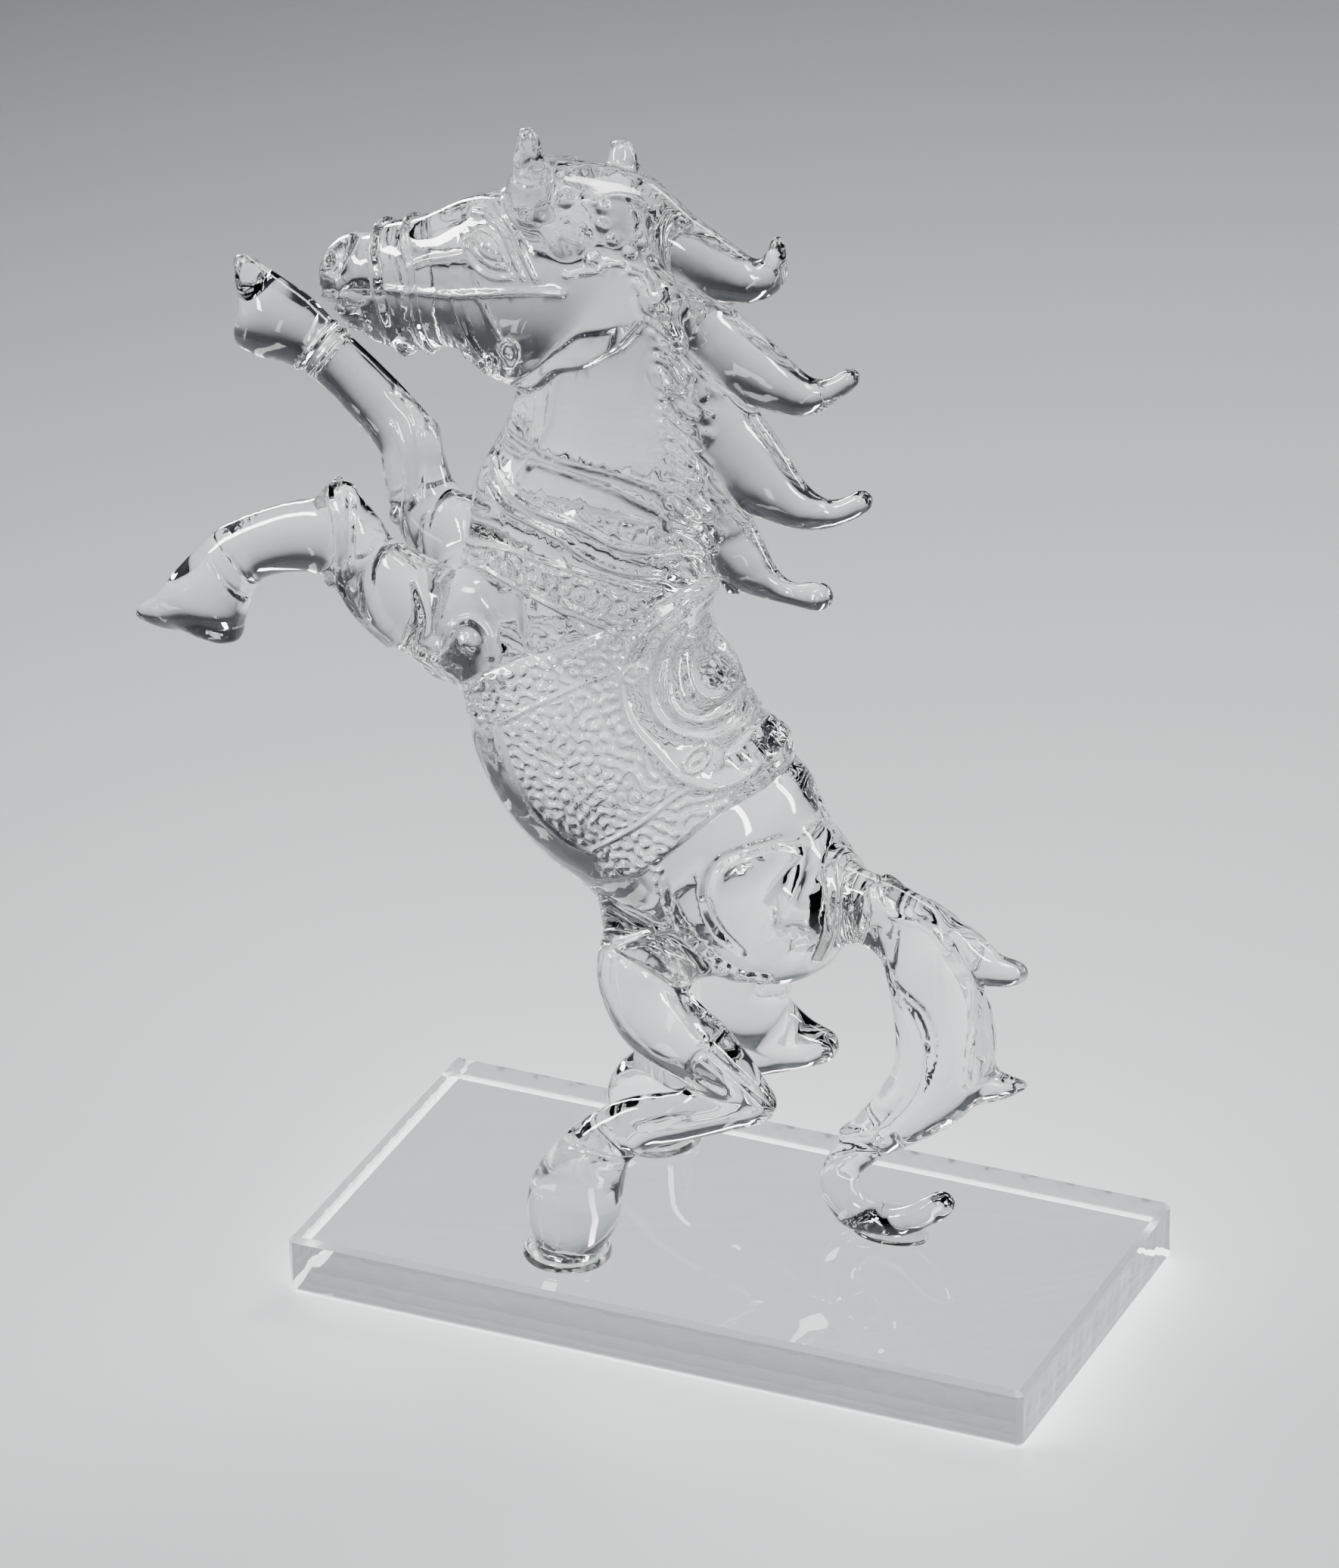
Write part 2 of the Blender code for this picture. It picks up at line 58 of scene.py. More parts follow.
# The horse. One piece of clear glass: trunk, neck and head come from a mould with
# the saddle and harness in low relief; legs, ears, mane and tail are drawn out hot
# from gathers and fused on, so every joint between them is a soft fillet.
MM = 0.001
PLINTH_TOP = 12.0
SOLE = 1.4

# A section is (x, y, z over the plinth, half depth, half width) in millimetres.
LIMBS = {
    "trunk": [(-45, -2, 121, 14, 13), (-33, -2, 114, 20.5, 17.5), (-21.8, -2.5, 98.8, 24.2, 19.5),
              (-8.6, -2, 88.2, 23.4, 20), (2.8, -2, 79.2, 22.8, 20.5), (10.8, -2, 73.8, 17.3, 18)],
    "chest": [(-51, -5, 115.5, 8, 8), (-45.5, -4, 117.5, 14, 14), (-35, -3, 119, 16, 16)],
    "neck": [(-26, -2, 112, 19, 15), (-28, -2.5, 126, 21, 15), (-23.8, -1, 143, 24, 14),
             (-21, 0, 159, 20.3, 11.5), (-20.5, 1, 174, 16.8, 10), (-19, 2, 188, 13, 9.5),
             (-19.5, 3, 200, 9.5, 8)],
    "withers": [(-9.8, -1, 134, 5.4, 7.5), (-10.6, -1, 128, 5.4, 8.5), (-10.2, -1, 122, 5.6, 9.5),
                (-8.6, -1, 117, 5.8, 11), (-5.8, -1, 112, 6.4, 12)],
    "head": [(-73, 4, 183, 8.6, 7), (-69.5, 4, 182, 11, 7.8), (-63, 4, 182.3, 12.8, 8.2),
             (-55.5, 3, 185, 12.9, 8.2), (-46, 3, 186.8, 17, 9.8), (-36, 2, 187.5, 19, 10.5),
             (-26, 2, 193, 17, 9.5)],
    "poll": [(-33, 0, 207, 7.5, 7), (-22.5, 2, 206, 8, 7), (-14.5, 2, 204.5, 8, 6.5), (-8, 1, 202, 7, 5)],
    "near_ear": [(-32.5, -5, 207, 4.2, 3.8), (-32, -7, 217, 3.2, 2.6), (-31.5, -8, 222.8, 2.5, 2.2)],
    "far_ear": [(-21, 8, 201, 3.6, 3.2), (-21.4, 10, 208, 3.1, 2.8), (-21.8, 11, 213.4, 2.9, 2.6)],
    "curl_1": [(-16, 2, 202, 6, 5.5), (-7.5, 1, 201.5, 6.6, 5.2), (0.5, 0, 199, 5.9, 4.6),
               (7.5, 0, 197, 4.5, 4), (12, 0, 199, 3.4, 3.2), (13, 0, 202.5, 2.4, 2.4),
               (13.5, 0, 206, 1.6, 1.6)],
    "curl_2": [(-14, 1, 193, 6, 6), (-6, 0, 190.5, 6.5, 5.6), (1.5, 0, 184, 7, 5), (9, 0, 179.5, 6.6, 4.4),
               (14, 0, 177, 5.4, 4), (19, 0, 176, 3.9, 3.4), (24, 0, 178.5, 2.5, 2.5),
               (27.5, 0, 181.5, 2.2, 2.2)],
    "curl_3": [(-12, 0, 181, 6, 6), (-2.5, 0, 173, 7, 5.6), (3.5, 0, 165, 8, 5.2), (9, 0, 158.5, 7.6, 4.6),
               (13.5, 0, 155, 6, 4), (18.5, 0, 153, 4.1, 3.4), (24, 0, 153.5, 2.7, 2.7),
               (29.5, 0, 157, 2.5, 2.5)],
    "curl_4": [(-10, 0, 163, 7, 6), (-3, 0, 153, 7, 5.6), (1.5, 0, 146, 6.6, 5), (6, 0, 140, 5.4, 4.2),
               (10, 0, 137, 3.7, 3.2), (14.5, 0, 135.5, 2.4, 2.4), (20.5, 0, 136, 3.2, 3.2)],
    "far_arm": [(-42, 6, 122, 12, 9), (-50, 8, 127, 10.5, 8), (-60, 10, 130.5, 8.3, 7),
                (-64.5, 11, 136, 6.8, 6), (-66.5, 12, 142, 6.3, 5.5), (-66, 12, 147.5, 5, 5)],
    "far_cannon": [(-66.5, 12, 145, 6.5, 5.2), (-71, 12, 150.5, 6.1, 4.8), (-78, 12, 157, 5.8, 4.8),
                   (-85, 12, 162.5, 5.7, 4.8)],
    "far_fore_toe": [(-94, 13, 168, 6, 5), (-98.7, 13, 173, 4, 4), (-101, 13, 176.8, 2.2, 2.4)],
    "near_arm": [(-38, -9, 118, 12, 9), (-44.5, -11, 122, 11.5, 8.5), (-50, -13, 124.5, 10, 8),
                 (-55.5, -15, 128, 9, 7.5), (-62.5, -17, 134.5, 8, 6.5), (-65.5, -18, 141.5, 7, 5.5),
                 (-67, -18, 147.5, 4.5, 4.2)],
    "near_cannon": [(-66.5, -18, 140.5, 8, 5.5), (-75, -18, 139, 7.2, 4.8), (-83, -18, 136, 6.4, 4.5),
                    (-89, -18, 132.5, 6.3, 4.6)],
    "near_fore_toe": [(-98, -18, 120.8, 5.6, 5), (-103.5, -18, 118.4, 4, 4.2), (-109, -18, 117, 2, 2.6)],
    "near_thigh": [(4, -8, 74, 17, 9), (-2.5, -10.5, 71, 15.5, 9), (-7, -14.5, 66, 10.8, 8.5),
                   (-9.5, -17, 59.5, 8.4, 7.5), (-5, -19, 52.5, 8.2, 7), (3, -20, 48.5, 7.5, 6),
                   (11.5, -21, 43.5, 5.4, 4.8), (16.5, -22, 40.5, 3.7, 3.7)],
    "flank": [(-14.5, -9, 78.5, 7, 8), (-12, -12, 71, 6.8, 7.5), (-9.5, -15, 65, 7, 7)],
    "near_shank": [(16, -22, 40, 3.8, 3.8), (5, -22, 36, 4.6, 4.3), (-7, -23, 32, 5.5, 4.6),
                   (-14.5, -23, 27, 5.8, 5)],
    "near_pastern": [(-14, -23, 27.5, 5.8, 5.2), (-18.3, -23, 21, 7.4, 6.6), (-20.8, -23, 14, 8.6, 7.6)],
    "far_thigh": [(2, 7, 67, 12.5, 9), (1, 8.5, 60, 11, 9), (-1, 11, 49, 9.6, 8.5), (-2, 14, 39, 9, 7.5),
                  (1, 17, 34, 6.9, 6), (7, 18, 31, 5.1, 4.6), (11.5, 19, 30.3, 3.6, 3.6)],
    "far_shank": [(11, 19, 30, 3.8, 3.8), (-1, 20, 25.5, 4.6, 4.3), (-14.5, 21, 21.5, 5, 4.6),
                  (-22.5, 22, 18, 5.6, 5)],
    "far_pastern": [(-22, 22, 18.5, 5.6, 5), (-26, 22.5, 12, 7.4, 6.6)],
    "tail": [(9, -2, 77, 11, 9), (17, -2, 76, 10, 8.5), (26, -2, 74.5, 7.8, 6.5), (32, 0, 72.5, 7.2, 5.5),
             (39, 1, 67.3, 8.7, 5.6), (41.5, 3, 57.5, 9.6, 6), (43, 4, 46.5, 10.2, 6),
             (40.5, 5, 36.5, 9, 5.6), (34.5, 5, 28.5, 6.8, 5), (26.5, 6, 20.5, 4.8, 4.4),
             (21.5, 6, 14, 3.9, 4), (20.2, 6, 8.5, 3.9, 4), (23.3, 6, 3.9, 3.9, 4.2),
             (28.5, 6, 2.7, 3.5, 4), (34, 5.5, 4.4, 3.1, 3.5), (38.5, 5, 7.5, 3, 3.1),
             (41.5, 5, 9.8, 3, 3)],
    "tail_curl_a": [(37, 1, 67, 5, 4.4), (43, 2, 68.5, 5, 4.4), (48.5, 3, 66, 4.4, 3.8),
                    (53, 3, 63.3, 3.4, 3.2), (57.5, 3, 63.8, 2.8, 2.8)],
    "tail_curl_b": [(43, 5, 37.5, 5, 4), (50, 5, 37.3, 4, 3.4), (54.5, 5, 38, 2.6, 2.6),
                    (58, 5, 39, 1.5, 1.6)],
}
# Hooves end in a slightly crowned sole instead of a round tip.
HOOVES = {
    "far_fore_hoof": [(-85, 12, 162.5, 5.7, 4.8), (-90.5, 13, 164.5, 7.2, 6), (-95.5, 13, 166, 8.2, 6.4),
                      (-99.5, 13, 167.5, 8.6, 6)],
    "near_fore_hoof": [(-89, -18, 132.5, 6.3, 4.6), (-93, -18, 126.5, 7.4, 5.8), (-96, -18, 121, 8.6, 6.4),
                       (-97.3, -18, 117.5, 9.6, 6)],
    "near_hind_hoof": [(-17.5, -23, 22, 7.2, 6.4), (-20.8, -23, 14.5, 9, 8), (-22, -23, 8.5, 8.8, 8.4),
                       (-22.8, -23, 3.5, 6.9, 6.9), (-23, -23, 0, 6.2, 6.2)],
    "far_hind_hoof": [(-23.5, 22, 16, 6.4, 5.8), (-26.2, 22.5, 10.5, 8.4, 7.6), (-26, 22.5, 7, 8.5, 8.1),
                      (-25.2, 22.5, 3, 6.6, 6.6), (-25, 22.5, 0, 6.2, 6.2)],
}


def curve_through(points, per_span):
    """Smooth curve through the rows of points.

    Within a span each column is the cubic that passes both its ends, with slopes
    there of half the step from the point before to the point after.
    """
    rows = np.asarray(points, float)
    rows = np.vstack([2 * rows[0] - rows[1], rows, 2 * rows[-1] - rows[-2]])
    a, b, c, d = (rows[i:len(rows) - 3 + i, None, :] for i in range(4))
    s = np.linspace(0.0, 1.0, per_span, endpoint=False)[None, :, None]
    spans = 0.5 * (2 * b + (c - a) * s + (2 * a - 5 * b + 4 * c - d) * s ** 2
                   + (3 * b - a - 3 * c + d) * s ** 3)
    return np.vstack([spans.reshape(-1, rows.shape[1]), rows[-2:-1]])


def drawn_limb(sections, end_length, around=28):
    """Points p(s, t) of a limb, as a grid of rings.

    p = centre(s) + depth(s) cos t along the outward normal + width(s) sin t across.
    Past each end the ring shrinks as the root of 1 - e squared and moves on by
    e times end_length times the limb's smaller half size.
    """
    rows = curve_through(sections, 6)
    line = rows[:, :3]
    tangent = np.gradient(line, axis=0)
    tangent /= np.linalg.norm(tangent, axis=1, keepdims=True)
    across = np.array((0.0, 1.0, 0.0)) - tangent * tangent[:, 1:2]
    across /= np.linalg.norm(across, axis=1, keepdims=True)
    outward = np.cross(tangent, across)
    e = np.concatenate([[-0.98, -0.9, -0.7, -0.4], np.zeros(len(rows)), [0.4, 0.7, 0.9, 0.98]])
    s = np.clip(np.arange(len(e)) - 4, 0, len(rows) - 1)
    shrink = np.sqrt(1.0 - e ** 2)[:, None, None]
    thickness = np.minimum(rows[s, 3], rows[s, 4])
    centre = line[s] + tangent[s] * (e * end_length * thickness)[:, None]
    t = np.linspace(0.0, 2 * np.pi, around, endpoint=False)[None, :, None]
    depth, width = rows[s, 3][:, None, None], rows[s, 4][:, None, None]
    return (centre[:, None, :] + outward[s][:, None, :] * depth * shrink * np.cos(t)
            + across[s][:, None, :] * width * shrink * np.sin(t))


def ring_faces(rings, around, first):
    """Corner numbers of a tube of rings, numbered from first, with both ends closed."""
    i = np.arange(rings - 1)[:, None] * around + np.arange(around)[None, :]
    j = np.arange(rings - 1)[:, None] * around + (np.arange(around)[None, :] + 1) % around
    quads = np.stack([i, j, j + around, i + around], axis=-1).reshape(-1, 4) + first
    last = first + (rings - 1) * around
    end_faces = [list(range(first + around - 1, first - 1, -1)), list(range(last, last + around))]
    return quads.tolist() + end_faces


def new_piece(name, points, faces):
    """A mesh object at the origin, from points in millimetres."""
    mesh = bpy.data.meshes.new(name)
    mesh.from_pydata((np.asarray(points) * MM).tolist(), [], faces)
    shape = bmesh.new()
    shape.from_mesh(mesh)
    bmesh.ops.recalc_face_normals(shape, faces=shape.faces)
    shape.to_mesh(mesh)
    shape.free()
    piece = bpy.data.objects.new(name, mesh)
    bpy.context.scene.collection.objects.link(piece)
    return piece


def settle(piece):
    """Put the modifiers' result into the piece's own mesh."""
    graph = bpy.context.evaluated_depsgraph_get()
    mesh = bpy.data.meshes.new_from_object(piece.evaluated_get(graph))
    piece.modifiers.clear()
    piece.data = mesh


def get_rows(mesh, what):
    """The mesh's corners ("co") or their normals ("normal"), as rows of three."""
    values = np.empty(3 * len(mesh.vertices), np.float32)
    mesh.vertices.foreach_get(what, values)
    return values.reshape(-1, 3).astype(float)


# The limbs are fused on a 1 mm lattice and then fire polished: rounds of smoothing
# that melt the lattice's steps and leave a fillet of about 3 mm at every joint.
LATTICE = 1.0
POLISH_ROUNDS = 9
ROUND_TIP, FLAT_SOLE = 1.0, 0.25
limb_points, limb_faces = [], []
all_limbs = [(rows, ROUND_TIP) for rows in LIMBS.values()] + [(rows, FLAT_SOLE) for rows in HOOVES.values()]
for sections, end_length in all_limbs:
    grid = drawn_limb(sections, end_length)
    limb_faces += ring_faces(grid.shape[0], grid.shape[1], sum(len(part) for part in limb_points))
    limb_points.append(grid.reshape(-1, 3) + (0.0, 0.0, PLINTH_TOP))
horse = new_piece("glass_horse", np.vstack(limb_points), limb_faces)
fuse = horse.modifiers.new("Fuse", "REMESH")
fuse.mode = "VOXEL"
fuse.voxel_size = LATTICE * MM
polish = horse.modifiers.new("Fire polish", "SMOOTH")
polish.factor = 0.5
polish.iterations = POLISH_ROUNDS
settle(horse)

# Where the saddle's sides meet the back the hot glass has run into the hollow: rounds
# of smoothing that only ever move the flanks outward and leave the seat as it is.
SADDLE_MIDDLE, SADDLE_REACH = (-4, 133), (16, 24)
FILL_PASSES, ROUNDS_IN_PASS = 8, 12
ends = np.empty(2 * len(horse.data.edges), np.int32)
horse.data.edges.foreach_get("vertices", ends)
one_end, other_end = ends[0::2], ends[1::2]
neighbours = np.bincount(ends)


def neighbour_mean(rows):
    """Mean of each corner's neighbours along the edges."""
    total = [np.bincount(one_end, axis[other_end], len(rows))
             + np.bincount(other_end, axis[one_end], len(rows)) for axis in rows.T]
    return np.stack(total, axis=1) / neighbours[:, None]


places = get_rows(horse.data, "co")
away = np.linalg.norm((places[:, (0, 2)] / MM - SADDLE_MIDDLE) / SADDLE_REACH, axis=1)
by_saddle = np.clip(2.0 - away * 2.0, 0.0, 1.0)
for _ in range(FILL_PASSES):
    normals = get_rows(horse.data, "normal")
    on_flank = np.clip((abs(normals[:, 1]) - 0.2) / 0.3, 0.0, 1.0)
    for _ in range(ROUNDS_IN_PASS):
        outward = np.maximum(((neighbour_mean(places) - places) * normals).sum(axis=1), 0.0)
        places += normals * (0.8 * by_saddle * on_flank * outward)[:, None]
    horse.data.vertices.foreach_set("co", places.ravel())
    horse.data.update()

# Moulded relief, drawn in side view as (x, z) and alike on both flanks: (height,
# outline) of each raised patch, and (height, half width, line) of each ridge. Straps
# go right round the horse, creases stay on its flanks.
PATCHES = {
    "blanket": (0.9, [(-44, 114), (-38.5, 117.5), (-32, 121), (-23.5, 124.5), (-16.5, 128.5), (-9, 133),
                      (4, 136), (24, 112), (12.5, 99.5), (8.5, 98), (4, 94.5), (-0.5, 90), (-6.5, 84.5),
                      (-12, 81.5), (-17, 80), (-24, 82), (-32, 86.5), (-38.5, 93), (-42, 100),
                      (-44.5, 108)]),
    "saddle": (1.2, [(-0.5, 137.5), (-7, 133.5), (-11.5, 129), (-13.5, 124), (-14, 117.5), (-11, 111),
                     (-6.5, 106), (-2, 102), (1.5, 100.3), (6, 99.3), (10, 99.8), (15, 100.5), (22, 112),
                     (10, 130), (3.5, 137)]),
    "seat": (-0.8, [(-3, 131), (-4, 124.5), (-3.4, 118.6), (0, 115), (5, 112.6), (10, 111.5), (18, 112),
                    (12, 131)]),
    "cantle": (1.3, [(5.5, 104.5), (9.5, 101.5), (15, 101.5), (18, 106), (10, 112)]),
    "collar": (0.6, [(-50, 135.5), (-42, 140.3), (-34.7, 142), (-24, 141.2), (-14.8, 139.5), (-7, 136.8),
                     (-8.5, 133.5), (-13.2, 129.5), (-20, 131.7), (-28, 134.6), (-39.8, 136.8),
                     (-47, 134.2)]),
}
STRAPS = {
    "blanket_edge_top": (0.5, 0.8, [(-35, 109), (-28.5, 113.5), (-22.5, 117), (-15, 121)]),
    "blanket_edge_belly": (0.5, 0.9, [(-35, 108), (-32, 100), (-27, 92.5), (-21, 88), (-15.5, 87.5)]),
    "blanket_edge_bottom": (0.5, 0.8, [(-15.5, 88), (-6.5, 94.5), (0, 100), (4, 100)]),
    "seat_rim": (1.3, 0.9, [(-4.4, 133.4), (-7, 130.2), (-8.6, 126.4), (-9.2, 120.7), (-8, 115.5),
                            (-4.6, 110.8), (1, 107.4), (6.3, 107)]),
    "seat_ridge": (1.2, 0.8, [(-5.8, 128.4), (-7, 123.6), (-6.2, 118), (-3.6, 113.2), (0.6, 109.9),
                              (5.5, 109)]),
    "seat_ridge_inner": (1.1, 0.8, [(-5.4, 125.8), (-5, 121.6), (-3.6, 117.6), (-0.8, 114), (3.6, 111.6),
                                    (6.5, 111)]),
    "saddle_rim": (0.8, 0.9, [(-1, 136.2), (-6.5, 133), (-10.9, 128.8), (-13, 123.8), (-13.2, 117.5),
                              (-10.6, 111.7), (-6, 107), (-1.6, 103), (1.8, 101.3), (6, 100.3),
                              (10, 101.2)]),
    "collar_top": (0.6, 0.7, [(-50, 136), (-46, 138.6), (-40, 141), (-34.7, 142), (-24, 141.2),
                              (-14.8, 139.5), (-7, 136.8)]),
    "collar_low": (0.6, 0.7, [(-48, 134), (-46, 134.8), (-39.8, 136.8), (-28, 134.6), (-20, 131.7),
                              (-13.4, 128.7)]),
    "neck_ring": (1.1, 1.0, [(-40.5, 155.5), (-36.3, 152.6), (-31.8, 150.8), (-27, 150), (-22.7, 149.5),
                             (-18.7, 148.2), (-13.5, 146), (-7.2, 145), (-4.2, 145)]),
    "neck_ring_low": (1.1, 1.0, [(-41, 151.5), (-36.3, 149), (-30.4, 148), (-24.3, 146.4), (-20.9, 144.5),
                                 (-16.3, 142.3), (-11.2, 140.9), (-6.4, 140.2)]),
    "rump_strap": (0.9, 1.6, [(-3.8, 88), (-1, 80), (3, 71.5), (8, 65.3), (15, 63.5)]),
    "nose_rope": (1.3, 1.4, [(-68, 196.5), (-67.2, 193), (-66.2, 190), (-65.2, 186.8), (-64.5, 183),
                             (-63.6, 179), (-62.5, 174), (-61.8, 169.5)]),
    "nose_band": (0.9, 1.0, [(-62.6, 198.5), (-60.6, 195), (-58.8, 192.2), (-57.8, 189.6), (-57.6, 187),
                             (-57.2, 184), (-57, 180), (-56.8, 176), (-57.2, 170.5)]),
    "mouth": (-1.8, 1.1, [(-80.5, 176.4), (-78, 176.8), (-74.7, 177.8), (-71.6, 178.8), (-69.4, 179.2)]),
    "far_pastern_ring": (0.6, 0.8, [(-88.5, 158.5), (-84, 164.8), (-80.5, 170.5)]),
    "far_pastern_ring_back": (0.6, 0.8, [(-86, 158), (-81.7, 164), (-78.3, 169)]),
    "tail_weld": (0.9, 1.1, [(24.5, 84), (26, 80.1), (26.3, 76), (25.8, 71.8), (24, 67)]),
    "tail_twist": (0.8, 1.0, [(19, 20), (23, 21.5), (27.2, 23.9), (31.1, 23.2)]),
    "tail_twist_low": (-0.8, 0.9, [(18.5, 15), (22, 17.2), (25.3, 18.6), (29.5, 19.1)]),
}
CREASES = {
    "upper_lid": (1.0, 0.7, [(-45, 198.6), (-43.2, 200.2), (-40.6, 200.2), (-38.4, 198.8), (-36.7, 196.3)]),
    "lower_lid": (0.9, 0.7, [(-45, 198.6), (-43.9, 197.1), (-42, 196.1), (-39.6, 195.3), (-36.7, 195.3)]),
    "lid_fold": (0.9, 0.8, [(-46, 202.2), (-42.6, 202.5), (-39.2, 201.6), (-36.8, 199.2), (-34.9, 196.4),
                            (-33.4, 194)]),
    "brow": (1.0, 0.9, [(-44.6, 204.8), (-40.4, 204.4), (-36.8, 202.6), (-34.6, 199.8), (-32.8, 197),
                        (-31, 194.2)]),
    "socket": (0.7, 0.7, [(-46.6, 198), (-45.6, 196), (-43.9, 194.4), (-41.6, 193.3), (-38.4, 193.1),
                          (-35.6, 193.8)]),
    "cheek_strap": (1.0, 1.0, [(-62.5, 185.2), (-55.6, 186.4), (-48.2, 187.6), (-43, 189.1), (-36.8, 190.8),
                               (-31.2, 191.8), (-25.6, 192.2)]),
    "cheek_bone": (0.6, 0.8, [(-57.6, 190.6), (-54.3, 192.5), (-50, 194.1), (-46.5, 195.4)]),
    "chin_strap": (0.7, 0.8, [(-48.4, 186.6), (-46.8, 183.3), (-45.3, 179.9), (-43.2, 177)]),
    "nostril_fold": (0.8, 0.8, [(-77.4, 184.6), (-75.2, 185), (-73.6, 184.4), (-73.2, 182.8),
                                (-72.6, 181.4)]),
    "upper_lip": (0.8, 0.8, [(-77, 180.2), (-74.4, 181.2), (-71.3, 182), (-68.4, 181.8)]),
    "chin": (-0.6, 1.2, [(-72, 171.5), (-69.5, 174), (-68.8, 176.6)]),
    "forelock_curl": (0.9, 0.8, [(-25.4, 195.6), (-22.3, 196.3), (-19.6, 196.9), (-17.6, 198.5),
                                 (-15, 198.5)]),
    "poll_line": (0.6, 0.6, [(-20.9, 209.3), (-17.9, 210.7), (-14.4, 210.7), (-11.4, 209.5)]),
    "thigh_crease": (-1.1, 1.6, [(11.8, 69.9), (8.5, 74.5), (6.5, 80.6), (6.8, 85.3), (8.6, 88.8),
                                 (12.1, 90.3), (16.6, 90.5), (20, 88.5)]),
    "throat_cord": (0.8, 1.1, [(-31.4, 170.5), (-30.9, 167), (-31.9, 159.1), (-34, 154.5)]),
    "shoulder_fold": (0.7, 0.9, [(-29, 134.6), (-23.1, 132.4), (-19.1, 128.8)]),
    "girth": (-0.7, 0.9, [(-31.6, 133.3), (-31.1, 127.7), (-29.7, 123)]),
    "arm_fold": (0.8, 1.3, [(-56, 139), (-52, 134.9), (-49.1, 127.8), (-51.1, 120)]),
    "chest_arc": (0.8, 1.0, [(-45.9, 122.8), (-44.4, 126.7), (-41.6, 128.2), (-38.4, 125.7),
                             (-37.3, 121.5)]),
    "near_knee_edge": (0.9, 1.0, [(-68.4, 151.1), (-66, 146.4), (-65.2, 139.7), (-65, 132), (-62, 125.4),
                                  (-57.4, 120.4)]),
    "near_fetlock": (-0.7, 0.9, [(-92, 132.4), (-90.3, 130.5), (-88.9, 128.5), (-87.4, 126.6),
                                 (-86.4, 125)]),
    "far_knee_fold": (-0.8, 1.1, [(-69.2, 156.8), (-65.4, 153.1), (-64, 150.1), (-63.2, 144.6),
                                  (-63, 138.7)]),
    "flank_arc": (0.7, 1.2, [(-12, 67.6), (-8.5, 69.7), (-4.8, 71.8), (-1.4, 73.7)]),
    "stifle_fold": (-0.9, 1.2, [(-14.5, 67.3), (-5.4, 64.3), (1.1, 57.8), (6, 53)]),
    "hock_dent": (-0.9, 1.0, [(10.5, 44), (4.6, 46), (5, 49.3), (7.4, 51), (11.8, 47.9), (18.7, 42.5)]),
    "near_hind_weld": (-0.8, 1.0, [(-22, 28), (-19, 27.2), (-14.5, 26.2), (-8.5, 24.6)]),
    "tail_strand_top": (0.8, 1.0, [(32.3, 79.7), (33.3, 77.6), (36.1, 74.9), (42.2, 73.1), (46.2, 68.8)]),
    "tail_strand_front": (-1.1, 1.2, [(33.6, 72), (33.5, 66.4), (34.4, 58), (38.5, 51.5), (40, 44),
                                      (38, 35), (33, 27.5), (28.8, 23.6)]),
    "tail_strand_back": (-1.0, 1.1, [(46, 71), (47.9, 68.6), (50.4, 59.7), (50, 50.9), (48.4, 39)]),
    "ear_base": (0.6, 0.8, [(-35, 213.2), (-31, 212.6), (-27.8, 213.6)]),
    "ear_hollow": (-0.8, 0.9, [(-33, 215.8), (-30.7, 218)]),
}
# Beads and hollows, (height, radius, centre), and rosettes, each a ring round a bead.
KNOBS = [(-2.4, 1.6, (-75.4, 187.2)), (0.7, 3.0, (-75.4, 187.2)), (0.8, 1.1, (-71.2, 175.4)),
         (1.2, 2.4, (-67.4, 133.4)), (1.5, 2.4, (-48, 122.6)), (1.5, 2.2, (-41.6, 124))]
# The forelock falls to the left only: a broad lobe, small curls and a button.
FORELOCK = [(2.2, 1.9, (-25.8, 209.7)), (1.5, 5.6, (-25.4, 202.8)), (0.9, 1.7, (-19, 209)),
            (0.9, 1.7, (-18.8, 205.7)), (0.9, 1.6, (-17.1, 203)), (0.9, 1.6, (-13.9, 200.8)),
            (0.8, 1.6, (-20.6, 198.7))]
ROSETTES = [(-11.4, 120.8), (1.0, 104.8), (-41.6, 175)]
# The eyeball, a dome on an oval: centre, half sizes and heading of its long side.
EYE = ((-41.0, 197.9), (3.0, 1.7), (0.927, -0.375))
# The cheek stands over the neck by a sharp round edge and sinks into the head.
JAW = [(-47, 173.8), (-41.5, 171), (-36, 170), (-31.6, 172), (-26.8, 176.6), (-21.8, 178.6), (-17.4, 181.6),
       (-14, 184.8), (-11.2, 188.6)]
LOCK_LINE = [(-13.8, 197.5), (-11.6, 194), (-10, 190), (-9.2, 185), (-8, 179.5), (-7, 168.5), (-5.6, 157.5),
             (-4.6, 147)]
LOCK_REACH = np.array((5.0, -4.2))
LOCKS, LOCK_HALF_WIDTH, LOCK_RISE = 22, 1.25, 1.1
# Heights in millimetres, and the spacing of the punched ground's worms.
EYE_RISE, JAW_RISE, BEAD_RISE, RING_RISE = 1.7, 1.5, 1.0, 0.9
RING_RADIUS = 1.7
PUNCH_RISE, PUNCH_SPACING = 0.65, 2.1
COLLAR_PUNCH_RISE, COLLAR_PUNCH_SPACING = 0.7, 2.5


def soft_step(share):
    """Rises softly from 0 to 1: three times the share squared, less twice its cube."""
    share = np.clip(share, 0.0, 1.0)
    return share * share * (3.0 - 2.0 * share)


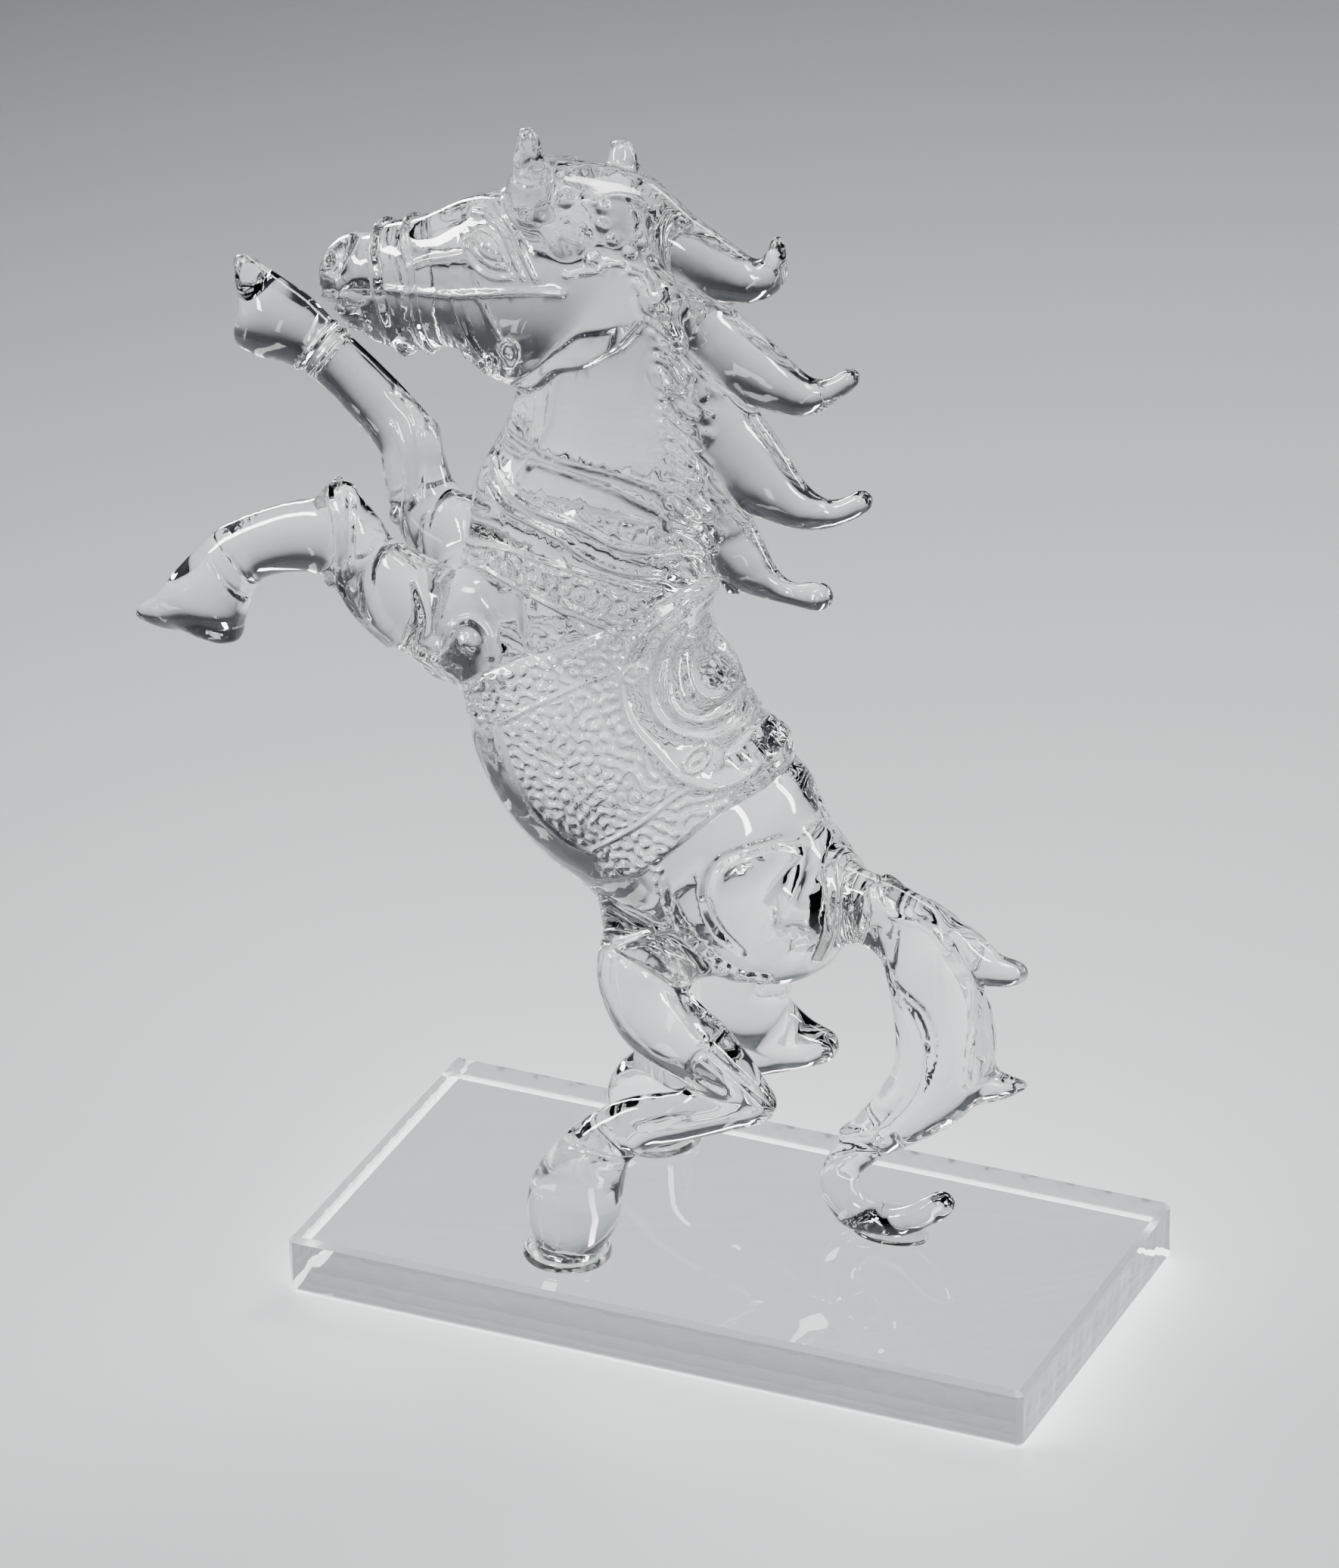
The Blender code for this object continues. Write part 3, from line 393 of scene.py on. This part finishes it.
def line_distance(places, line, reach=np.inf):
    """Least distance of each place from the line's pieces: each place is dropped
    on each piece, the drop's foot is kept between the piece's ends, and the
    nearest foot counts. Places beyond reach of the line's box stay at infinity."""
    line = np.asarray(line, float)
    close = ((places > line.min(axis=0) - reach) & (places < line.max(axis=0) + reach)).all(axis=1)
    spots = places[close]
    nearest = np.full(len(spots), np.inf)
    for a, d in zip(line[:-1], np.diff(line, axis=0)):
        share = np.clip((spots - a) @ d / (d @ d), 0.0, 1.0)
        nearest = np.minimum(nearest, np.linalg.norm(spots - a - share[:, None] * d, axis=1))
    out = np.full(len(places), np.inf)
    out[close] = nearest
    return out


def inside(places, outline):
    """True where a ray to the right crosses the closed outline an odd number of times."""
    x, z = places[:, :1], places[:, 1:]
    x1, z1 = np.asarray(outline, float).T
    x2, z2 = np.roll(x1, -1), np.roll(z1, -1)
    rise = np.where(z1 == z2, 1.0, z2 - z1)
    return (((z1 > z) != (z2 > z)) & (x < x1 + (x2 - x1) * (z - z1) / rise)).sum(axis=1) % 2 == 1


def patch_edge(places, outline):
    """Distance to a closed outline, above zero inside it."""
    closed = list(outline) + [outline[0]]
    return line_distance(places, closed) * np.where(inside(places, outline), 1.0, -1.0)


def pebbles(places, spacing, seed):
    """Worms and rings as the mould's punched ground leaves them: many plane waves of
    one length and of random heading and phase are added, and the sum is cut off
    soft at zero, so its crests join into short crooked worms."""
    draw = np.random.default_rng(seed)
    heading = draw.uniform(0.0, 2 * np.pi, 48)
    phase = draw.uniform(0.0, 2 * np.pi, 48)
    length = spacing * draw.uniform(0.88, 1.14, 48)
    waves = np.stack([np.cos(heading), np.sin(heading)]) * (2 * np.pi / length)
    crest = np.cos(places @ waves + phase).sum(axis=1) / np.sqrt(24.0)
    return soft_step(0.5 + 1.3 * (crest - 0.3))


def ridges(places, lines):
    """Sum of rounded ridges, each its height times a soft step down from its line."""
    height = np.zeros(len(places))
    for rise, half_width, line in lines.values():
        away = line_distance(places, curve_through(line, 6), half_width)
        height += rise * soft_step(1.0 - away / half_width)
    return height


def harness(places, sideways, left):
    """Height in millimetres of saddle, blanket, straps and creases at each place. What
    stays on the flanks is weighted by how far the glass there faces sideways, and the
    forelock by how far it lies on the left."""
    height = ridges(places, STRAPS)
    for rise, outline in PATCHES.values():
        height += rise * soft_step(0.5 + patch_edge(places, outline) / 1.4)
    flank = ridges(places, CREASES)
    for rise, radius, centre in KNOBS:
        flank += rise * soft_step(1.3 * (1.0 - np.linalg.norm(places - centre, axis=1) / radius))
    for rise, radius, centre in FORELOCK:
        lobe = soft_step(1.3 * (1.0 - np.linalg.norm(places - centre, axis=1) / radius))
        flank += left * rise * lobe
    for centre in ROSETTES:
        away = np.linalg.norm(places - centre, axis=1)
        flank += (BEAD_RISE * soft_step(1.0 - away / 0.9)
                  + RING_RISE * soft_step(1.0 - abs(away - RING_RADIUS) / 0.6))
    middle, half_sizes, heading = EYE
    along = (places - middle) @ np.array([heading, (-heading[1], heading[0])]).T / half_sizes
    flank += EYE_RISE * np.sqrt(np.clip(1.0 - (along ** 2).sum(axis=1), 0.0, 1.0))
    head_side = JAW + [(-14, 197), (-24, 201), (-38, 201), (-49, 194), (-51, 181)]
    away = line_distance(places, curve_through(JAW, 6))
    over = patch_edge(places, head_side) > 0.0
    flank += JAW_RISE * soft_step(0.5 + np.where(over, away, -away) / 1.2) * np.exp(-away / 6.0)
    return height + flank * sideways


def pebbled(places):
    """Height of the punched ground: on the blanket, but not on its clear belly border
    or under the saddle, and on the breast collar and the rump strap."""
    blanket = soft_step(patch_edge(places, PATCHES["blanket"][1]) / 1.5)
    saddle = soft_step(0.5 + patch_edge(places, PATCHES["saddle"][1]) / 0.8)
    clear_border = [(-36, 107), (-33, 100), (-28, 92), (-21.5, 87), (-14, 86.3),
                    (-14, 70), (-60, 70), (-60, 107)]
    border = soft_step(0.5 + patch_edge(places, clear_border) / 1.0)
    seam_names = ("blanket_edge_top", "blanket_edge_belly", "blanket_edge_bottom")
    seams = np.minimum.reduce([line_distance(places, curve_through(STRAPS[name][2], 6))
                               for name in seam_names])
    ground = blanket * (1.0 - saddle) * (1.0 - border) * soft_step((seams - 0.7) / 0.6)
    collar = soft_step((patch_edge(places, PATCHES["collar"][1]) - 0.5) / 0.6)
    strap = soft_step((1.7 - line_distance(places, curve_through(STRAPS["rump_strap"][2], 6))) / 0.6)
    return (PUNCH_RISE * ground * pebbles(places, PUNCH_SPACING, 3)
            + COLLAR_PUNCH_RISE * collar * (1.0 - saddle) * pebbles(places, COLLAR_PUNCH_SPACING, 5)
            + PUNCH_RISE * strap * pebbles(places, PUNCH_SPACING, 7))


def mane_locks(places):
    """Short slanted locks, side by side down the crest, each a rounded ridge with a
    bend in it. Their lengths and bends come and go by two slow sines."""
    roots = curve_through(LOCK_LINE, 8)
    run = np.concatenate([[0.0], np.cumsum(np.linalg.norm(np.diff(roots, axis=0), axis=1))])
    at = np.linspace(0.0, run[-1], LOCKS)
    starts = np.stack([np.interp(at, run, roots[:, 0]), np.interp(at, run, roots[:, 1])], axis=1)
    height = np.zeros(len(places))
    for number, root in enumerate(starts):
        reach = LOCK_REACH * (1.0 + 0.25 * np.sin(2.3 * number))
        bend = np.array((0.7, 0.7)) * np.cos(1.9 * number)
        lock = curve_through([root, root + 0.45 * reach + bend, root + reach], 4)
        away = line_distance(places, lock, LOCK_HALF_WIDTH)
        height = np.maximum(height, soft_step(1.0 - away / LOCK_HALF_WIDTH))
    return height


# Where there is relief the lattice is cut to half a millimetre, and to a quarter under
# the punched ground, the eye and the rosettes. It is polished again before the relief
# is pressed.
SECOND_POLISH_ROUNDS = 4


def near_relief(places):
    """Lattice cuts wanted at each place: 1 by the straps, the face and the crest, and 2
    on punched ground, the eye and the rosettes."""
    lines = [curve_through(line, 3) for _, _, line in (STRAPS | CREASES).values()]
    lines += [curve_through(JAW, 3), curve_through(LOCK_LINE, 3) + (2.5, -2)]
    near = np.minimum.reduce([line_distance(places, line, 2.2) for line in lines]) < 2.2
    near |= patch_edge(places, PATCHES["saddle"][1]) > -1.2
    for _, radius, centre in KNOBS + FORELOCK:
        near |= np.linalg.norm(places - centre, axis=1) < radius + 1.0
    punched = patch_edge(places, PATCHES["blanket"][1]) > -1.0
    punched &= patch_edge(places, PATCHES["saddle"][1]) < 0.5
    punched |= patch_edge(places, PATCHES["collar"][1]) > -0.6
    punched |= line_distance(places, curve_through(STRAPS["rump_strap"][2], 3), 2.0) < 2.0
    punched |= np.linalg.norm(places - EYE[0], axis=1) < 5.0
    for centre in ROSETTES:
        punched |= np.linalg.norm(places - centre, axis=1) < 2.6
    return np.where(punched, 2, near.astype(int))


shape = bmesh.new()
shape.from_mesh(horse.data)
for cut in (1, 2):
    centres = np.array([face.calc_center_median() for face in shape.faces]) / MM
    wanted = near_relief(centres[:, (0, 2)] - (0.0, PLINTH_TOP)) >= cut
    chosen = {edge for face, is_wanted in zip(shape.faces, wanted) if is_wanted for edge in face.edges}
    bmesh.ops.subdivide_edges(shape, edges=list(chosen), cuts=1, use_grid_fill=True)
    bmesh.ops.triangulate(shape, faces=[face for face in shape.faces if len(face.verts) > 4])
bmesh.ops.triangulate(shape, faces=shape.faces)
for _ in range(SECOND_POLISH_ROUNDS):
    bmesh.ops.smooth_vert(shape, verts=shape.verts, factor=0.5,
                          use_axis_x=True, use_axis_y=True, use_axis_z=True)
shape.to_mesh(horse.data)
shape.free()

places = get_rows(horse.data, "co") / MM
normals = get_rows(horse.data, "normal")
side_view = places[:, (0, 2)] - (0.0, PLINTH_TOP)
sideways = soft_step((abs(normals[:, 1]) - 0.1) / 0.35)
left = soft_step((5.0 - places[:, 1]) / 3.0)
rise = harness(side_view, sideways, left) + pebbled(side_view) + LOCK_RISE * sideways * mane_locks(side_view)
places += normals * rise[:, None]
places[:, 2] = np.maximum(places[:, 2], PLINTH_TOP + SOLE)
horse.data.vertices.foreach_set("co", (places * MM).ravel())
horse.data.update()

# The smooth glass needs fewer faces than the relief, so faces are merged where the form
# is flattest.
HORSE_TRIANGLES = 190000
thin = horse.modifiers.new("Thin out", "DECIMATE")
thin.ratio = min(1.0, HORSE_TRIANGLES / len(horse.data.polygons))
settle(horse)
horse.data.shade_smooth()


# Soda-lime glass, fire polished: colourless, mirror smooth and slightly uneven, so
# highlights wander over it.
def linear(hex_colour):
    """sRGB hex to linear RGBA: below 0.04045 a twelfth, above it the 2.4 power curve."""
    srgb = np.array([int(hex_colour[i:i + 2], 16) for i in (1, 3, 5)]) / 255.0
    return (*np.where(srgb <= 0.04045, srgb / 12.92, ((srgb + 0.055) / 1.055) ** 2.4), 1.0)


def add_node(tree, kind, values=(), links=(), **settings):
    """A node with its settings, its socket values and its links from other sockets."""
    node = tree.nodes.new(kind)
    for name, value in settings.items():
        setattr(node, name, value)
    for socket, value in dict(values).items():
        node.inputs[socket].default_value = value
    for socket, source in dict(links).items():
        tree.links.new(source, node.inputs[socket])
    return node


def clear_material(name, colour, roughness, ior, wave_scale, wave_height):
    """A see-through material by plain values, with a slow unevenness in its normal."""
    material = bpy.data.materials.new(name)
    material.use_nodes = True
    tree = material.node_tree
    tree.nodes.clear()
    place = add_node(tree, "ShaderNodeTexCoord")
    waves = add_node(tree, "ShaderNodeTexNoise", {"Scale": wave_scale, "Detail": 1.0},
                     {"Vector": place.outputs["Object"]})
    bump = add_node(tree, "ShaderNodeBump", {"Strength": 1.0, "Distance": wave_height},
                    {"Height": waves.outputs["Fac"]})
    shader = add_node(tree, "ShaderNodeBsdfPrincipled",
                      {"Base Color": linear(colour), "Roughness": roughness, "IOR": ior,
                       "Transmission Weight": 1.0},
                      {"Normal": bump.outputs["Normal"]})
    add_node(tree, "ShaderNodeOutputMaterial", {}, {"Surface": shader.outputs["BSDF"]})
    return material


horse.data.materials.clear()
horse.data.materials.append(clear_material("Fire polished glass", "#FCFDFD", 0.0, 1.51, 160.0, 0.00006))
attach(horse, "root")
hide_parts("horse")

# The plinth. A bar of 12 mm plate glass, sawn and polished: its faces are flat, its
# edges were polished by hand and are a little wavy, and every arris is ground to a
# pale 1 mm chamfer.
PLINTH_LENGTH, PLINTH_DEPTH, CHAMFER = 150.0, 75.0, 1.0
EDGE_WAVE, EDGE_WAVE_LENGTH = 0.18, 8.5
# Steps along each side of the plan: a cut corner, then a short or a long side.
PLAN_STEPS = [1, 90, 1, 180, 1, 90, 1, 180]


def plinth_surface():
    """Points p(s, t): s goes round the plan, a rectangle with cut corners, and t goes
    over the edge, from the top's border down both chamfers to the underside's.
    The edge is pushed in by slow waves along s that drift with t."""
    half_x, half_y, cut = PLINTH_LENGTH / 2, PLINTH_DEPTH / 2, CHAMFER
    corners = np.array([(half_x - cut, -half_y), (half_x, -half_y + cut),
                        (half_x, half_y - cut), (half_x - cut, half_y),
                        (-half_x + cut, half_y), (-half_x, half_y - cut),
                        (-half_x, -half_y + cut), (-half_x + cut, -half_y)])
    plan, normal = [], []
    for start, end, count in zip(corners, np.roll(corners, -1, axis=0), PLAN_STEPS):
        share = np.linspace(0.0, 1.0, count, endpoint=False)[:, None]
        plan.append(start + (end - start) * share)
        way = (end - start) / np.linalg.norm(end - start)
        normal.append(np.repeat([(way[1], -way[0])], count, axis=0))
    plan, normal = np.vstack(plan), np.vstack(normal)
    depth = np.concatenate([[0.0], np.linspace(CHAMFER, PLINTH_TOP - CHAMFER, 12), [PLINTH_TOP]])
    inset = np.where((depth == 0.0) | (depth == PLINTH_TOP), CHAMFER, 0.0)
    run = np.concatenate([[0.0], np.cumsum(np.linalg.norm(np.diff(plan, axis=0), axis=1))])[None, :]
    down = depth[:, None]
    wave = (np.sin(2 * np.pi * run / EDGE_WAVE_LENGTH + 0.5 * np.sin(down * 0.7) + 1.3 * np.sin(run / 17.0))
            + 0.6 * np.sin(2 * np.pi * run / (EDGE_WAVE_LENGTH * 0.43) + down * 0.5))
    inner = np.sin(np.pi * np.clip((down - CHAMFER) / (PLINTH_TOP - 2 * CHAMFER), 0.0, 1.0))
    push = inset[:, None] + EDGE_WAVE * (0.8 + 0.5 * wave) * inner
    flat = plan[None] - normal[None] * push[..., None]
    level = np.broadcast_to(PLINTH_TOP - down[..., None], flat.shape[:2] + (1,))
    return np.concatenate([flat, level], axis=2)


grid = plinth_surface()
rings, around = grid.shape[:2]
plinth = new_piece("plate_glass_plinth", grid.reshape(-1, 3), ring_faces(rings, around, 0))
plinth.data.materials.append(clear_material("Polished plate glass", "#F5FAF8", 0.0, 1.52, 40.0, 0.00002))
plinth.data.materials.append(clear_material("Ground chamfer", "#EEF2F2", 0.42, 1.52, 900.0, 0.00004))
ring_of_face = np.repeat(np.arange(rings - 1), around)
corner_columns = np.cumsum([0] + PLAN_STEPS[:-1])[::2]
column_of_face = np.tile(np.arange(around), rings - 1)
is_ground = (ring_of_face == 0) | (ring_of_face == rings - 2) | np.isin(column_of_face, corner_columns)
is_ground = np.concatenate([is_ground, [False, False]])
plinth.data.polygons.foreach_set("material_index", is_ground.astype(np.int32))
plinth.data.shade_smooth()
plinth.data.set_sharp_from_angle(angle=np.radians(25))
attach(plinth, "root")
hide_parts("plinth")


# The glue. Clear adhesive, set under both hind hooves and the tail's foot: each bead
# has crept out to an uneven rim that catches the light, thin over the plinth.
def glue_bead(name, middle, half_sizes, profile, seed):
    """Points p(s, t): t goes round an oval whose radius wanders by three slow waves,
    and s goes through the profile of (reach past the oval, height)."""
    draw = np.random.default_rng(seed)
    t = np.linspace(0.0, 2 * np.pi, 72, endpoint=False)
    waves = ((2, 0.16), (3, 0.12), (5, 0.07))
    wander = sum(size * np.sin(count * t + draw.uniform(0, 6.28)) for count, size in waves)
    profile = curve_through(profile, 4)
    reach, height = profile[:, :1], profile[:, 1:]
    outer = np.clip(reach / profile[:, 0].max(), 0.0, 1.0)
    x = middle[0] + np.cos(t) * (half_sizes[0] + reach + wander * outer)
    y = middle[1] + np.sin(t) * (half_sizes[1] + reach + wander * outer)
    z = np.broadcast_to(PLINTH_TOP + 0.3 + height, x.shape)
    bead = new_piece(name, np.stack([x, y, z], axis=-1).reshape(-1, 3), ring_faces(*x.shape, 0))
    bead.data.materials.append(glue)
    bead.data.shade_smooth()
    bead.data.set_sharp_from_angle(angle=np.radians(50))
    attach(bead, "root")
    return bead


glue = clear_material("Clear set glue", "#F6F8F6", 0.05, 1.49, 500.0, 0.00008)
# Under a hoof the bead rises to a rim round a dish, and under the tail's foot it is a flat pad.
DISH = [(0.0, 0.0), (1.1, 0.0), (1.35, 0.35), (1.25, 1.1), (0.95, 1.7), (0.65, 1.6), (0.35, 1.0),
        (0.0, 0.8)]
PAD = [(-0.8, 0.0), (-0.1, 0.0), (0.15, 0.3), (-0.1, 0.75), (-0.8, 0.8)]
near_bead = glue_bead("near_hoof_bead", (-23.0, -23.0), (6.9, 6.9), DISH, 11)
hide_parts("near_hoof_glue")
far_bead = glue_bead("far_hoof_bead", (-25.0, 22.5), (6.9, 6.9), DISH, 12)
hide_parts("far_hoof_glue")
tail_bead = glue_bead("tail_foot_bead", (30.5, 5.8), (7.5, 4.0), PAD, 13)
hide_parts("tail_glue")

# The floor: matt pale card, large enough to fill every view.
FLOOR_REACH = 6000.0
floor_corners = [(x * FLOOR_REACH, y * FLOOR_REACH, 0.0) for x, y in ((-1, -1), (1, -1), (1, 1), (-1, 1))]
floor = new_piece("floor", floor_corners, [[0, 1, 2, 3]])
card = bpy.data.materials.new("Pale card")
card.use_nodes = True
card.node_tree.nodes["Principled BSDF"].inputs["Base Color"].default_value = linear("#D2D4D6")
card.node_tree.nodes["Principled BSDF"].inputs["Roughness"].default_value = 0.9
floor.data.materials.append(card)


# Soft studio light in a dim room. A soft box overhead and one behind light the card,
# which clear glass leaves almost unshaded: only the back box is stopped by it and
# gives its faint shadow. Narrow boxes round about are flagged off the card and fall
# on the glass alone, where they draw the bright lines.
card_alone = bpy.data.collections.new("Card")
card_alone.objects.link(floor)
glass_alone = bpy.data.collections.new("Clear glass")
for piece in (horse, plinth, near_bead, far_bead, tail_bead):
    glass_alone.objects.link(piece)


def soft_box(name, place, aim, width, height, power, stopped_by_glass=False, flagged_off_card=False):
    light = bpy.data.lights.new(name, "AREA")
    light.shape = "RECTANGLE"
    light.size, light.size_y = width, height
    light.energy = power
    box = bpy.data.objects.new(name, light)
    turn = (Vector(place) - Vector(aim)).to_track_quat("Z", "Y")
    box.matrix_world = Matrix.Translation(place) @ turn.to_matrix().to_4x4()
    bpy.context.scene.collection.objects.link(box)
    if not stopped_by_glass:
        box.light_linking.blocker_collection = card_alone
    if flagged_off_card:
        box.light_linking.receiver_collection = glass_alone
    else:
        light.spread = np.radians(60)


soft_box("Overhead box", (-0.2, -0.3, 1.3), (0.0, 0.0, 0.1), 0.3, 0.8, 3.6)
soft_box("Back box", (0.3, 1.1, 1.1), (0.0, 0.0, 0.15), 0.8, 0.3, 1.3, stopped_by_glass=True)
soft_box("Right strip", (0.9, -0.7, 0.9), (0.0, 0.0, 0.15), 0.2, 0.6, 40.0, flagged_off_card=True)
soft_box("Left strip", (-1.1, -0.5, 0.7), (0.0, 0.0, 0.15), 0.2, 0.7, 44.0, flagged_off_card=True)
soft_box("Front strip", (-0.4, -1.3, 0.8), (0.0, 0.0, 0.15), 0.16, 0.5, 26.0, flagged_off_card=True)
soft_box("Left rim strip", (-0.9, 0.8, 0.5), (0.0, 0.0, 0.15), 0.15, 0.8, 24.0, flagged_off_card=True)
soft_box("Right rim strip", (1.0, 0.7, 0.5), (0.0, 0.0, 0.15), 0.15, 0.8, 24.0, flagged_off_card=True)
world = bpy.data.worlds.new("Dim room")
world.use_nodes = True
world.node_tree.nodes["Background"].inputs["Color"].default_value = linear("#393C40")
world.node_tree.nodes["Background"].inputs["Strength"].default_value = 1.0
bpy.context.scene.world = world
